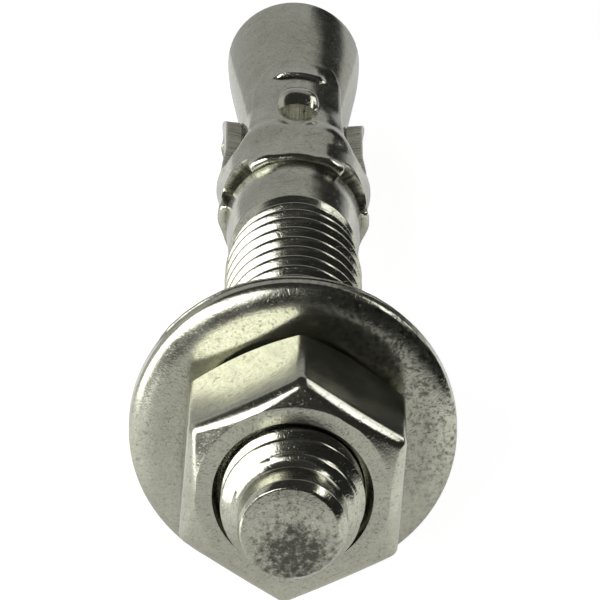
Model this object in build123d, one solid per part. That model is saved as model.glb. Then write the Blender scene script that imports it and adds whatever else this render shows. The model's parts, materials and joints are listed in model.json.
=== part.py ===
"""Wedge anchor for concrete: a threaded stud with an expander cone, its clip, a washer and a hex nut.

Every piece is modelled about the stud's own axis: Z runs from the cone's flat end towards the nut,
and +Y is the side that faces up once the anchor lies on a table. lay_down() then puts the finished
pieces where they come to rest, on the rim of the washer and the rim of the cone.
Lengths are in millimetres, angles in degrees. Clock angles are seen from the nut, with +Y at twelve.
"""
import os
from math import asin, atan2, cos, degrees, hypot, radians, sin, tan

from build123d import *

# Stud, listed from the cone's flat end to the tip
CONE_R = 4.78  # largest radius of the expander cone
CONE_END_ROUND = 0.5  # rounding of the cone's rim
CONE_CROWN = 5.4  # length of the curved stretch beside the rim
CONE_LENGTH = 14.0
CONE_ANGLE = 5.8  # half angle of the straight flank
NECK_LENGTH = 15.0
COLLAR_R = 4.74
COLLAR_END_R = 4.47  # the collar tapers towards the thread
COLLAR_LENGTH = 5.4
SHOULDER_LENGTH = 0.2  # slope from the collar down to the blank that the thread is rolled on
BLANK_R = 4.36
RUNOUT_LENGTH = 0.8  # bare blank beside the shoulder, where the rolling dies ran out
THREAD_RISE = 2.2  # the thread grows to its full height over this length
THREAD_R = 4.71  # major radius of the rolled 3/8-16 thread
THREAD_LENGTH = 38.85
DOG_R = 3.55  # plain driving tip, which keeps hammer blows off the thread
DOG_LENGTH = 2.6
DOG_BEVEL = 0.26
DOG_BEVEL_LENGTH = 0.65
DOG_CROWN = 0.1  # rise of the domed end face

# Expansion clip, one stamping rolled round the neck: three plates joined by three narrow webs
SHEET = 1.22
CLIP_BORE_R = 3.71
CLIP_CLEARANCE = 0.05  # between the plates and the cone
CLIP_END_PLAY = 0.25  # from the collar to the clip
CLIP_LENGTH = 17.05
CLIP_EDGE_BEVEL = 0.35  # edge turned in at the collar
CLIP_TURN = 3.2  # clock angle of the first plate's middle
PLATES = 3
SLOT_HALF = 19.3  # half width of the slots and notches between plates
NOTCH_DEPTH = 1.75
NOTCH_CORNER = 0.6
WEB_WIDTH = 3.2
SLOT_CORNER = 1.55
TIP_CORNER_LENGTH = 3.8  # the curved corners at a plate's tip
TIP_CORNER_WIDTH = 1.4
SEAM_WIDTH = 0.55  # where the two ends of the rolled strip meet
SEAM_AT = 1  # which of the webs is parted

# Shoulders of the plates, which stand out beside the webs because the bend gathers there
SHOULDER_OFFSET = 2.6  # distance of a shoulder's own axis from the stud's
SHOULDER_ANGLE = 28.5  # clock angle between a shoulder and its web
SHOULDER_RISE = 0.22  # above the plates, from the collar to the web
BULGE_RISE = 0.48  # above the plates, at the root of the slot

# Stampings on each plate
BUMP_AT = 8.65  # sheared face of the raised tab, from the collar edge
BUMP_TURN = 1.0
BUMP_HEIGHT = 0.52
BUMP_HALF = 1.5
BUMP_TOP_HALF = 1.25
BUMP_LENGTH = 2.9
BUMP_TOP_LENGTH = 1.3
DIMPLE_DEPTH = 0.42
DIMPLE_LENGTH = 2.4
RIDGE_AT = 14.2
RIDGE_HALF = 24.0
RIDGE_HEIGHT = 0.3
RIDGE_STEP = 0.15
RIDGE_LENGTH = 2.2

# Hex nut
ACROSS_FLATS = 14.25  # 9/16 in, less the usual allowance
NUT_THICKNESS = 8.35
NUT_CLEARANCE = 0.05  # between the thread and the bore
NUT_CORNER_ROUND = 0.75
NUT_FACE_R = 6.35
NUT_FACE_SLOPE = 16.0
NUT_SEAT_R = 6.9
NUT_SEAT_SLOPE = 40.0
COUNTERSINK_R = 5.28
COUNTERSINK_SLOPE = 55.0
NUT_TURN = 4.4  # clock angle of the corner nearest the top
THREAD_PROUD = 1.7  # full thread standing out of the nut

# Washer
WASHER_R = 10.9
WASHER_BORE_R = 5.6
WASHER_THICKNESS = 1.6
WASHER_EDGE_SLOPE = 22  # degrees, edge rolled over on the nut's side by the stamping
WASHER_EDGE_WIDTH = 1.8
WASHER_EDGE_BEVEL = 0.35
WASHER_BORE_BEVEL = 0.25
WASHER_GAP = 0.65  # between the loose nut and washer

# Places along the axis
neck_end = CONE_LENGTH + NECK_LENGTH
collar_end = neck_end + COLLAR_LENGTH
blank_start = collar_end + SHOULDER_LENGTH
thread_start = blank_start + RUNOUT_LENGTH
thread_end = thread_start + THREAD_LENGTH
dog_base = thread_end + THREAD_R - DOG_R
tip = dog_base + DOG_LENGTH
clip_edge = neck_end - CLIP_END_PLAY
web_top = clip_edge - NOTCH_DEPTH
web_bottom = web_top - WEB_WIDTH
clip_tip = clip_edge - CLIP_LENGTH
bump_face = clip_edge - BUMP_AT
ridge_face = clip_edge - RIDGE_AT
nut_face = thread_end - THREAD_PROUD
nut_seat = nut_face - NUT_THICKNESS
washer_face = nut_seat - WASHER_GAP
washer_back = washer_face - WASHER_THICKNESS

# Sizes that follow from the fits
neck_r = CLIP_BORE_R - 2 * CLIP_CLEARANCE
clip_r = CLIP_BORE_R + SHEET
nut_bore_r = THREAD_R + NUT_CLEARANCE
web_angles = [CLIP_TURN + (n + 0.5) * 360 / PLATES for n in range(PLATES)]
plate_angles = [CLIP_TURN + n * 360 / PLATES for n in range(PLATES)]


def cone_radius(z):
    """Radius of the cone's straight flank."""
    return neck_r + (CONE_LENGTH - z) * tan(radians(CONE_ANGLE))


def at(r, z):
    """Point of a profile, by its distance from the axis and its height."""
    return Vector(r, 0, z)


def turned(*edges):
    """Solid of revolution of a closed profile."""
    return revolve(make_face(edges), axis=Axis.Z)


def at_clock(angle):
    """Turns a shape made on the +X side to a clock angle."""
    return Rot(0, 0, 90 - angle)


def facing(distance):
    """Plane square to +X, with its own x along the circumference and its own y along the axis."""
    return Plane(origin=(distance, 0, 0), x_dir=(0, 1, 0), z_dir=(1, 0, 0))


def make_stud():
    crown = at(cone_radius(CONE_CROWN), CONE_CROWN)
    rim = at(CONE_R, CONE_END_ROUND)
    end = at(CONE_R - CONE_END_ROUND, 0)
    flank = Vector(sin(radians(CONE_ANGLE)), 0, -cos(radians(CONE_ANGLE)))
    bevel = at(DOG_R - DOG_BEVEL, tip - DOG_CROWN)
    return turned(
        Line(at(0, 0), end),
        TangentArc(end, rim, tangent=(1, 0, 0)),
        TangentArc(crown, rim, tangent=flank),
        Polyline(
            crown,
            at(neck_r, CONE_LENGTH),
            at(neck_r, neck_end),
            at(COLLAR_R, neck_end),
            at(COLLAR_END_R, collar_end),
            at(BLANK_R, blank_start),
            at(BLANK_R, thread_start),
            at(THREAD_R, thread_start + THREAD_RISE),
            at(THREAD_R, thread_end),
            at(DOG_R, dog_base),
            at(DOG_R, tip - DOG_BEVEL_LENGTH),
            bevel,
        ),
        TangentArc(at(0, tip), bevel, tangent=(1, 0, 0)),
        Line(at(0, tip), at(0, 0)),
    )


def clip_tube():
    """Rolled sheet, flared at the tips of the plates to sit on the cone."""
    bore_at_tip = cone_radius(clip_tip) + CLIP_CLEARANCE
    flare = (bore_at_tip - CLIP_BORE_R) / tan(radians(CONE_ANGLE))
    return turned(
        Polyline(
            at(CLIP_BORE_R, clip_edge),
            at(CLIP_BORE_R, clip_tip + flare),
            at(bore_at_tip, clip_tip),
            at(bore_at_tip + SHEET, clip_tip),
            at(clip_r, clip_tip + flare),
            at(clip_r, clip_edge - CLIP_EDGE_BEVEL),
            at(clip_r - CLIP_EDGE_BEVEL, clip_edge),
            close=True,
        )
    )


def clip_shoulder():
    """One swelling of a plate beside a web, turned about an axis of its own."""
    low = clip_r - SHOULDER_OFFSET
    pad = low + SHOULDER_RISE
    bulge = low + BULGE_RISE
    reach = web_top - web_bottom
    swelling = turned(
        Polyline(
            at(0, web_bottom - reach),
            at(low, web_bottom - reach),
            at(bulge, web_bottom - reach / 4),
            at(bulge, web_bottom + reach / 4),
            at(pad, web_top),
            at(pad, clip_edge - CLIP_EDGE_BEVEL),
            at(pad - CLIP_EDGE_BEVEL, clip_edge),
            at(0, clip_edge),
            close=True,
        )
    )
    middle = CLIP_BORE_R + SHEET / 2
    inside = Cylinder(middle, clip_edge, align=(Align.CENTER, Align.CENTER, Align.MIN))
    return Pos(SHOULDER_OFFSET, 0, 0) * swelling - inside


def radial_cutter(outline):
    """Cuts an outline, drawn flat at the outside of the sheet, with walls that run to the axis."""
    inner = CLIP_BORE_R / 2
    outer = 2 * clip_r
    faces = []
    for distance in (inner, outer):
        stretched = scale(outline, by=(distance / clip_r, 1, 1))
        faces.append(facing(distance) * stretched)
    return loft(faces, ruled=True)


def slot_outline():
    """Slot between two plates: round corners at its root, and a mouth that widens at the tips."""
    half = clip_r * tan(radians(SLOT_HALF))
    mouth = half + TIP_CORNER_WIDTH
    corner = clip_tip + TIP_CORNER_LENGTH
    side = Curve() + [
        Line((0, web_bottom), (half - SLOT_CORNER, web_bottom)),
        JernArc((half - SLOT_CORNER, web_bottom), (1, 0), SLOT_CORNER, -90),
        Line((half, web_bottom - SLOT_CORNER), (half, corner)),
        TangentArc((half, corner), (mouth, clip_tip), tangent=(0, -1)),
        Line((mouth, clip_tip), (mouth, clip_tip - 1)),
        Line((mouth, clip_tip - 1), (0, clip_tip - 1)),
    ]
    return make_face(side + mirror(side, Plane.YZ))


def notch_outline():
    half = clip_r * tan(radians(SLOT_HALF))
    height = 2 * NOTCH_DEPTH
    notch = Pos(0, web_top + height / 2) * Rectangle(2 * half, height)
    return fillet(notch.vertices().group_by(Axis.Y)[0], NOTCH_CORNER)


def clip_bump():
    """Raised tab of a plate, sheared on the side that faces the nut."""
    faces = []
    for distance, half, length in (
        (clip_r - SHEET / 3, BUMP_HALF, BUMP_LENGTH),
        (clip_r + BUMP_HEIGHT, BUMP_TOP_HALF, BUMP_TOP_LENGTH),
    ):
        side = bump_face - length / 4
        tab = Curve() + [
            Polyline((-half, side), (-half, bump_face), (half, bump_face), (half, side)),
            ThreePointArc((half, side), (0, bump_face - length), (-half, side)),
        ]
        faces.append(facing(distance) * make_face(tab))
    return loft(faces, ruled=True)


def clip_dimple():
    """Hollow that the shearing leaves in front of the tab."""
    ball_r = (DIMPLE_LENGTH**2 + DIMPLE_DEPTH**2) / (2 * DIMPLE_DEPTH)
    ball = Pos(clip_r - DIMPLE_DEPTH + ball_r, 0, bump_face) * Sphere(ball_r)
    return split(ball, Plane.XY.offset(bump_face), keep=Keep.TOP)


def clip_ridge():
    """Low ridge stamped across a plate near its tip, steep on the side that faces the nut."""
    inside = clip_r - SHEET / 3
    profile = Polyline(
        at(inside, ridge_face),
        at(clip_r + RIDGE_HEIGHT, ridge_face - RIDGE_STEP),
        at(inside, ridge_face - RIDGE_LENGTH),
        close=True,
    )
    ridge = revolve(make_face(profile), axis=Axis.Z, revolution_arc=2 * RIDGE_HALF)
    return Rot(0, 0, -RIDGE_HALF) * ridge


def make_clip():
    clip = clip_tube()
    shoulder = clip_shoulder()
    for web in web_angles:
        for side in (-SHOULDER_ANGLE, SHOULDER_ANGLE):
            clip += at_clock(web + side) * shoulder
    bump = clip_bump()
    dimple = clip_dimple()
    ridge = clip_ridge()
    for plate in plate_angles:
        clip += at_clock(plate) * ridge
        clip += at_clock(plate + BUMP_TURN) * bump
        clip -= at_clock(plate + BUMP_TURN) * dimple
    slot = radial_cutter(slot_outline())
    notch = radial_cutter(notch_outline())
    for web in web_angles:
        clip -= at_clock(web) * slot
        clip -= at_clock(web) * notch
    seam = Box(4 * clip_r, SEAM_WIDTH, 2 * clip_edge, align=(Align.MIN, Align.CENTER, Align.CENTER))
    return clip - at_clock(web_angles[SEAM_AT]) * seam


def make_nut():
    corner_r = ACROSS_FLATS / 2 / cos(radians(30))
    blank = extrude(fillet(RegularPolygon(corner_r, 6).vertices(), NUT_CORNER_ROUND), NUT_THICKNESS)
    face_drop = (corner_r - NUT_FACE_R) * tan(radians(NUT_FACE_SLOPE))
    seat_rise = (corner_r - NUT_SEAT_R) * tan(radians(NUT_SEAT_SLOPE))
    envelope = turned(
        Polyline(
            at(0, 0),
            at(NUT_SEAT_R, 0),
            at(corner_r, seat_rise),
            at(corner_r, NUT_THICKNESS - face_drop),
            at(NUT_FACE_R, NUT_THICKNESS),
            at(0, NUT_THICKNESS),
            close=True,
        )
    )
    sink_depth = (COUNTERSINK_R - nut_bore_r) * tan(radians(COUNTERSINK_SLOPE))
    bore = turned(
        Polyline(
            at(0, 0),
            at(COUNTERSINK_R, 0),
            at(nut_bore_r, sink_depth),
            at(nut_bore_r, NUT_THICKNESS - sink_depth),
            at(COUNTERSINK_R, NUT_THICKNESS),
            at(0, NUT_THICKNESS),
            close=True,
        )
    )
    nut = blank & envelope
    nut = nut - bore
    return Pos(0, 0, nut_seat) * at_clock(NUT_TURN) * nut


def make_washer():
    edge = WASHER_THICKNESS - WASHER_EDGE_WIDTH * tan(radians(WASHER_EDGE_SLOPE))
    washer = turned(
        Polyline(
            at(WASHER_BORE_R, 0),
            at(WASHER_R, 0),
            at(WASHER_R, edge - WASHER_EDGE_BEVEL),
            at(WASHER_R - WASHER_EDGE_BEVEL / 2, edge),
            at(WASHER_R - WASHER_EDGE_WIDTH, WASHER_THICKNESS),
            at(WASHER_BORE_R + WASHER_BORE_BEVEL, WASHER_THICKNESS),
            at(WASHER_BORE_R, WASHER_THICKNESS - WASHER_BORE_BEVEL),
            close=True,
        )
    )
    return Pos(0, 0, washer_back) * washer


def lay_down():
    """Resting place: the axis tips until washer and cone both touch the table at Z = 0."""
    # Contact points in the plane of the axis: along it, and down from it
    washer_along, washer_down = washer_back, WASHER_R
    centre_along, centre_down = CONE_END_ROUND, CONE_R - CONE_END_ROUND
    along = washer_along - centre_along
    down = washer_down - centre_down
    tilt = degrees(atan2(down, along) - asin(CONE_END_ROUND / hypot(along, down)))
    lean, level = sin(radians(tilt)), cos(radians(tilt))
    height = washer_down * level - washer_along * lean
    # Furthest points of the two ends, measured level with the table from the cone end's centre
    behind = centre_down * lean + CONE_END_ROUND * (1 - level)
    ahead = (tip - DOG_CROWN) * level + (DOG_R - DOG_BEVEL) * lean
    middle = (ahead - behind) / 2
    print(f"axis tilted by {tilt:.4f} degrees, cone end {height:.4f} up and {middle:.4f} back")
    return Pos(0, middle, height) * Rot(90 - tilt, 0, 0)


def main():
    os.makedirs("parts", exist_ok=True)
    rest = lay_down()
    pieces = {
        "stud": make_stud(),
        "expansion_clip": make_clip(),
        "washer": make_washer(),
        "hex_nut": make_nut(),
    }
    for node, piece in pieces.items():
        export_step(rest * piece, f"parts/{node}.step")


if __name__ == "__main__":
    main()
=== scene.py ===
"""Looks of the wedge anchor: true threads, stamped clip, rolled and sheared edges, plain steel.

Shapes are built in the anchor's own coordinates, in millimetres: z runs along the stud from the
cone's flat end towards the nut, and a clock angle in degrees is read from the nut's end, with
twelve at the top. place() carries them into the frame. The overall sizes are measured on the CAD
nodes. The values named here are finer sizes, of forms that the CAD model has or leaves plain.
Lengths are in millimetres and angles in degrees, where a comment doesn't say otherwise.
"""

import json
import math

import bmesh
import bpy
import numpy as np
from mathutils import Matrix, Vector
from mathutils.geometry import delaunay_2d_cdt


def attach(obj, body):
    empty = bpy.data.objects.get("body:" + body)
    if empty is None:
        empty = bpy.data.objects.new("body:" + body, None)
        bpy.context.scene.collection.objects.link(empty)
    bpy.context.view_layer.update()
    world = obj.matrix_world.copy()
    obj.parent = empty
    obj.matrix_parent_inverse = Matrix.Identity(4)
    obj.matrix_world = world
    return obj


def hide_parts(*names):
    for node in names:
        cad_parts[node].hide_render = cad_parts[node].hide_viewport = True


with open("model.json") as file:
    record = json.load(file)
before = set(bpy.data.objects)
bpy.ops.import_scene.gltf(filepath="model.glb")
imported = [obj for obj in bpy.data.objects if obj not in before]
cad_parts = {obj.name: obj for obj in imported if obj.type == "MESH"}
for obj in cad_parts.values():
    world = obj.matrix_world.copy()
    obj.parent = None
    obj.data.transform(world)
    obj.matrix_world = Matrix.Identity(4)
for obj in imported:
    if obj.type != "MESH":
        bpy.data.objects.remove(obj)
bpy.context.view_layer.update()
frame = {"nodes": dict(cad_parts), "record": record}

MM = 0.001
V_PER_MM = 0.1  # the texture's v along a profile

# Thread, 3/8-16 right-hand
PITCH = 25.4 / 16
CREST_HALF = 0.1  # half the width of a crest
THREAD_DEPTH = 0.93
CREST_AT = 32.29  # one crest at twelve o'clock, measured back from the nut's near face
THREAD_CLEARANCE = 0.07  # between the flanks of nut and stud
TURN_COLUMNS = 144  # columns of faces round the stud

# Stud
CONE_LENGTH = 14.0
CONE_ANGLE = 5.8
NECK_R = 3.61
NECK_FILLET = 0.1  # where the neck meets the collar
CONE_CROWN = 5.4  # length of the cone's crowned end
RIM_ROUND = 0.5
COLLAR_LENGTH = 5.4
COLLAR_END_R = 4.47
COLLAR_EDGE = 0.15  # size of its rounded edge towards the neck
COLLAR_EDGE_MIDDLE = (0.04, 0.05)  # of that edge, from the sharp corner: along and in
COLLAR_SLOPE = 0.47  # of the shoulder towards the thread
FIRST_CREST_R = 4.4
BLEND_START = 0.5  # before the collar's end, where it starts to blend with the thread
THREAD_START = 1.0  # from the collar's end to the first rise of the crests
THREAD_RISE = 2.4  # length over which the crests reach their full radius
CHAMFER_OUT = 0.06  # of the thread's 45 degree end chamfer, over the crests
LAST_LIP_R = 0.13  # height of the burr on that chamfer
LAST_LIP_Z = 0.75  # from the end of the full thread
LAST_LIP_WIDTH = 0.13
FACE_R_OFF = 0.22  # the driving face has worn off centre, to the left
FACE_LOSS = 0.34  # of its radius, to the bevel round it
FACE_EDGE = ((0.22, 0.07, 0.8), (0.13, 0.015, 1))  # depth, radius over the face's, share of the offset
DOG_BEVEL_LENGTH = 0.65
DOG_BEVEL_EDGE = (0.06, 0.012)  # along and in
DOG_CROWN = 0.1  # height of the driving face's dome
LEAST_DOG_R = 3.5  # the end chamfer stops before this radius


# ---------------------------------------------------------------- the anchor's own coordinates

mounts = {m["name"]: m for m in frame["record"]["mounts"]}
ORIGIN = np.array(mounts["drilled_hole"]["pos_m"])
AXIS = np.array(mounts["drilled_hole"]["axis"])
RIGHT = np.array((1.0, 0.0, 0.0))
UP = np.cross(AXIS, RIGHT)


def place(points):
    """Points (right, up, along) in millimetres, as places in the frame, in metres."""
    points = np.asarray(points, float)
    return ORIGIN + MM * points @ np.array((RIGHT, UP, AXIS))


def own(node):
    """Vertices of a CAD node in the anchor's own coordinates."""
    co = np.array([v.co for v in frame["nodes"][node].data.vertices])
    return (co - ORIGIN) @ np.array((RIGHT, UP, AXIS)).T / MM


def polar(r, clock, z, centre=(0.0, 0.0)):
    """Points from distances off an axis, clock angles and heights."""
    angle = np.radians(clock)
    right, up = centre[0] + r * np.sin(angle), centre[1] + r * np.cos(angle)
    return np.stack(np.broadcast_arrays(right, up, z), axis=-1)


NEARLY = 0.005  # points this close to a radius lie on it
stud = own("stud")
nut = own("hex_nut")
ring = own("washer")
clip = own("expansion_clip")
stud_r = np.hypot(stud[:, 0], stud[:, 1])
TIP = stud[:, 2].max()
NUT_SEAT, NUT_FACE = nut[:, 2].min(), nut[:, 2].max()
WASHER_BACK, WASHER_FACE = ring[:, 2].min(), ring[:, 2].max()
WASHER_UP = (ring[:, 1].max() + ring[:, 1].min()) / 2
WASHER_R = (ring[:, 1].max() - ring[:, 1].min()) / 2
WASHER_BORE = np.hypot(ring[:, 0], ring[:, 1] - WASHER_UP).min()
CLIP_TIP, CLIP_EDGE = clip[:, 2].min(), clip[:, 2].max()
CONE_R = stud_r[stud[:, 2] < CONE_CROWN].max()
COLLAR_R = stud_r[np.abs(stud[:, 2] - CLIP_EDGE) < 1].max()
THREAD_R = stud_r[stud[:, 2] > NUT_SEAT].max()
THREAD_END = stud[stud_r > THREAD_R - NEARLY, 2].max()
DOG_R = stud_r[stud[:, 2] > THREAD_END + THREAD_R - LEAST_DOG_R].max()
COLLAR_START = stud[(stud_r > COLLAR_R - NEARLY) & (stud[:, 2] > CLIP_EDGE), 2].min()
COLLAR_END = COLLAR_START + COLLAR_LENGTH


# ---------------------------------------------------------------- skins

DOUBLED = 1e-7  # metres between points that are taken as one


class Skin:
    """Rings of points and the faces between them, which become one mesh."""

    def __init__(self):
        self.points = []
        self.faces = []
        self.flat_uv = []

    def add(self, points, uv):
        """Adds points with their places in the texture and gives back their numbers."""
        first = len(self.points)
        self.points.extend(points)
        self.flat_uv.extend(uv)
        return list(range(first, first + len(points)))

    def ring(self, r, clocks, z, centre=(0.0, 0.0), run=None):
        """One ring. run is its place along the profile, used as the texture's v."""
        points = polar(r, clocks, z, centre)
        v = np.broadcast_to(z if run is None else run, clocks.shape)
        return self.add(points, np.stack((clocks / 360, v), axis=-1))

    def join(self, a, b):
        """Faces between two closed loops of the same count."""
        count = len(a)
        for i in range(count):
            j = (i + 1) % count
            self.faces.append((a[i], a[j], b[j], b[i]))

    def chain(self, loops):
        """Faces between each closed loop and the next."""
        for a, b in zip(loops, loops[1:]):
            self.join(a, b)

    def close(self, rim, point, uv):
        """Faces from a closed loop to one point."""
        middle = self.add([point], [uv])[0]
        for i in range(len(rim)):
            self.faces.append((rim[i], rim[(i + 1) % len(rim)], middle))

    def helix(self, low, high, clocks, radius):
        """Surface between two heights whose rows climb with the thread.

        Rows start below and end above it. What is outside is laid flat on its rims, where
        finish_mesh joins it.
        """
        per_turn = len(PHASES)
        first = math.floor((low - CREST_Z) / PITCH)
        turns = math.ceil((high - low) / PITCH) + 4
        starts = [CREST_Z + PITCH * (first + k + p) for k in range(turns) for p in PHASES]
        rows = []
        for start in starts:
            heights = np.clip(start - PITCH * clocks / 360, low, high)
            rows.append(self.ring(radius(clocks, heights), clocks, heights))
        last = len(clocks) - 1
        for j in range(len(rows) - 1):
            here, above = rows[j], rows[j + 1]
            for i in range(last):
                self.faces.append((here[i], here[i + 1], above[i + 1], above[i]))
            if j >= per_turn:
                there = rows[j - per_turn], rows[j - per_turn + 1]
                self.faces.append((here[last], there[0][0], there[1][0], above[last]))

    def build(self, name, materials, sharp=40.0, second_from=None):
        """Makes the object. Faces from second_from on get the second material."""
        mesh = bpy.data.meshes.new(name)
        mesh.from_pydata([tuple(p) for p in place(self.points)], [], self.faces)
        for material in materials:
            mesh.materials.append(material)
        if second_from is not None:
            late = np.arange(len(self.faces)) >= second_from
            mesh.polygons.foreach_set("material_index", late.astype(np.int32))
        uv = mesh.uv_layers.new(name="around")
        for poly in mesh.polygons:
            corners = [self.flat_uv[v] for v in poly.vertices]
            highest = max(c[0] for c in corners)
            for loop, (u, v) in zip(poly.loop_indices, corners):
                wrapped = u + 1 if highest - u > 0.5 else u
                uv.data[loop].uv = (wrapped, v * V_PER_MM)
        finish_mesh(mesh, sharp)
        obj = bpy.data.objects.new(name, mesh)
        bpy.context.collection.objects.link(obj)
        return obj


def finish_mesh(mesh, sharp):
    """Joins doubled points, turns the faces outwards and smooths all but the sharp edges."""
    work = bmesh.new()
    work.from_mesh(mesh)
    bmesh.ops.remove_doubles(work, verts=work.verts, dist=DOUBLED)
    bmesh.ops.recalc_face_normals(work, faces=work.faces)
    work.to_mesh(mesh)
    work.free()
    mesh.polygons.foreach_set("use_smooth", [True] * len(mesh.polygons))
    mesh.set_sharp_from_angle(angle=math.radians(sharp))
    mesh.update()


# ---------------------------------------------------------------- thread

CREST_Z = NUT_FACE - CREST_AT
SOFT = 22.0  # sharpness of the blend between flank, crest and root
CLOCKS = np.arange(TURN_COLUMNS) * 360 / TURN_COLUMNS
CREST_TO_ROOT = [0, 0.035, 0.07, 0.11, 0.17, 0.24, 0.31, 0.37, 0.42, 0.46]  # rows, as shares of a turn
PHASES = CREST_TO_ROOT + [0.5] + [1 - p for p in reversed(CREST_TO_ROOT[1:])]


def softly(a, b, keep, soft=SOFT):
    """Larger (keep=1) or smaller (keep=-1) of two radii, with the corner rounded."""
    return keep * np.logaddexp(keep * soft * a, keep * soft * b) / soft


def thread_form(clock, z, crest, root):
    """Radius of a 60 degree thread of right hand."""
    turns = (z - CREST_Z) / PITCH + clock / 360
    away = np.abs((turns + 0.5) % 1 - 0.5) * PITCH
    flank = crest + (CREST_HALF - away) * math.sqrt(3)
    return softly(softly(flank, crest, -1), root, 1)


def collar_radius(z):
    """Radius of the collar, which tapers towards the thread."""
    return COLLAR_R - (COLLAR_R - COLLAR_END_R) * (z - COLLAR_START) / COLLAR_LENGTH


def stud_radius(clock, z):
    """Radius of the stud from the collar to the driving tip."""
    collar = np.minimum(collar_radius(z), COLLAR_END_R - (z - COLLAR_END) * COLLAR_SLOPE)
    grown = np.clip((z - COLLAR_END - THREAD_START) / THREAD_RISE, 0, 1)
    crest = FIRST_CREST_R + (THREAD_R - FIRST_CREST_R) * grown
    form = thread_form(clock, z, crest, THREAD_R - THREAD_DEPTH)
    body = np.where(z < COLLAR_END - BLEND_START, collar, softly(collar, form, 1))
    chamfer = THREAD_R + CHAMFER_OUT - (z - THREAD_END)
    lip = np.exp(-(((z - THREAD_END - LAST_LIP_Z) / LAST_LIP_WIDTH) ** 2))
    return softly(softly(body, chamfer + LAST_LIP_R * lip, -1), DOG_R, 1)


def cone_rows():
    """Profile of the stud below the collar, from the collar down to the cone's rim."""
    slope = math.tan(math.radians(CONE_ANGLE))
    along, inwards = COLLAR_EDGE_MIDDLE
    rows = [(COLLAR_START + COLLAR_EDGE, COLLAR_R)]
    rows += [(COLLAR_START + along, COLLAR_R - inwards), (COLLAR_START, COLLAR_R - COLLAR_EDGE)]
    rows += [(COLLAR_START, NECK_R + NECK_FILLET), (COLLAR_START - NECK_FILLET, NECK_R)]
    rows += [(CONE_LENGTH + 0.2, NECK_R), (CONE_LENGTH, NECK_R)]
    for z in np.linspace(CONE_LENGTH, CONE_CROWN, 16)[1:]:
        rows.append((z, NECK_R + (CONE_LENGTH - z) * slope))
    start_r = rows[-1][1]
    run = CONE_CROWN - RIM_ROUND
    sag = (start_r + run * slope - CONE_R) / run**2
    for z in np.linspace(CONE_CROWN, RIM_ROUND, 12)[1:]:
        fallen = CONE_CROWN - z
        rows.append((z, start_r + fallen * slope - sag * fallen**2))
    for turn in np.radians(np.linspace(0, 90, 8))[1:]:
        rows.append((RIM_ROUND * (1 - math.sin(turn)), CONE_R - RIM_ROUND * (1 - math.cos(turn))))
    for r in np.linspace(CONE_R - RIM_ROUND, 0, 14)[1:-1]:
        rows.append((0.0, r))
    return rows


# Hammer marks on the driving face, in shares of the tip's radius; depths are in millimetres
DENT = 0.05  # broad hollow
DENT_AT = (0.1, -0.45)
DENT_SPREAD = (0.2, 0.12)
RIPPLES = (  # depth, and two crossed waves: across, up and phase
    (0.012, (7, 3, 0.0), (-4, 5, 1.0)),
    (0.006, (15, -9, 0.5), (6, 13, 0.0)),
)


def scuffs(points):
    """How far the hammer marks push in each point of the driving face."""
    x, y = points[:, 0] / DOG_R, points[:, 1] / DOG_R
    spread = (x - DENT_AT[0]) ** 2 / DENT_SPREAD[0] + (y - DENT_AT[1]) ** 2 / DENT_SPREAD[1]
    ripple = np.zeros_like(x)
    for depth, one, other in RIPPLES:
        waves = [np.sin(across * x + up * y + phase) for across, up, phase in (one, other)]
        ripple += depth * waves[0] * waves[1]
    return DENT * np.exp(-spread) + ripple * (1 - np.clip(np.hypot(x, y), 0, 1) ** 4)


ROWS_FROM = 2.6  # from the collar's start to where the rows begin to climb with the thread
ROWS_TO = 0.1  # from the end of those rows to the driving end's bevel
FACE_RINGS = 28


def make_stud(material):
    """Helical rows from collar to tip, closed by the cone's profile and the driving end's."""
    skin = Skin()
    low, high = COLLAR_START + ROWS_FROM, TIP - DOG_BEVEL_LENGTH - ROWS_TO
    skin.helix(low, high, CLOCKS, stud_radius)
    loops = [skin.ring(r, CLOCKS, z) for z, r in [(low, collar_radius(low))] + cone_rows()]
    skin.chain(loops)
    skin.close(loops[-1], (0, 0, 0), (0, 0))
    face_r, bevel_z = DOG_R - FACE_LOSS, TIP - DOG_BEVEL_LENGTH
    along, inwards = DOG_BEVEL_EDGE
    profile = [(high, DOG_R, 0), (bevel_z, DOG_R, 0), (bevel_z + along, DOG_R - inwards, 0)]
    profile += [(TIP - depth, face_r + over, off) for depth, over, off in FACE_EDGE]
    for r in np.linspace(face_r - 0.05, 0, FACE_RINGS)[:-1]:
        profile.append((TIP - DOG_CROWN * (r / face_r) ** 2, r, 1))
    loops = []
    for z, r, off in profile:
        points = polar(r, CLOCKS, z, (-FACE_R_OFF * off, 0.0))
        if r < face_r:
            points[:, 2] -= scuffs(points)
        run = np.full(len(CLOCKS), z + r)
        loops.append(skin.add(points, np.stack((CLOCKS / 360, run), axis=-1)))
    skin.chain(loops)
    middle = np.array([(-FACE_R_OFF, 0.0, TIP)])
    middle[:, 2] -= scuffs(middle)
    skin.close(loops[-1], middle[0], (0, 0))
    return skin.build("stud_steel", [material])


# ---------------------------------------------------------------- nut

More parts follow.
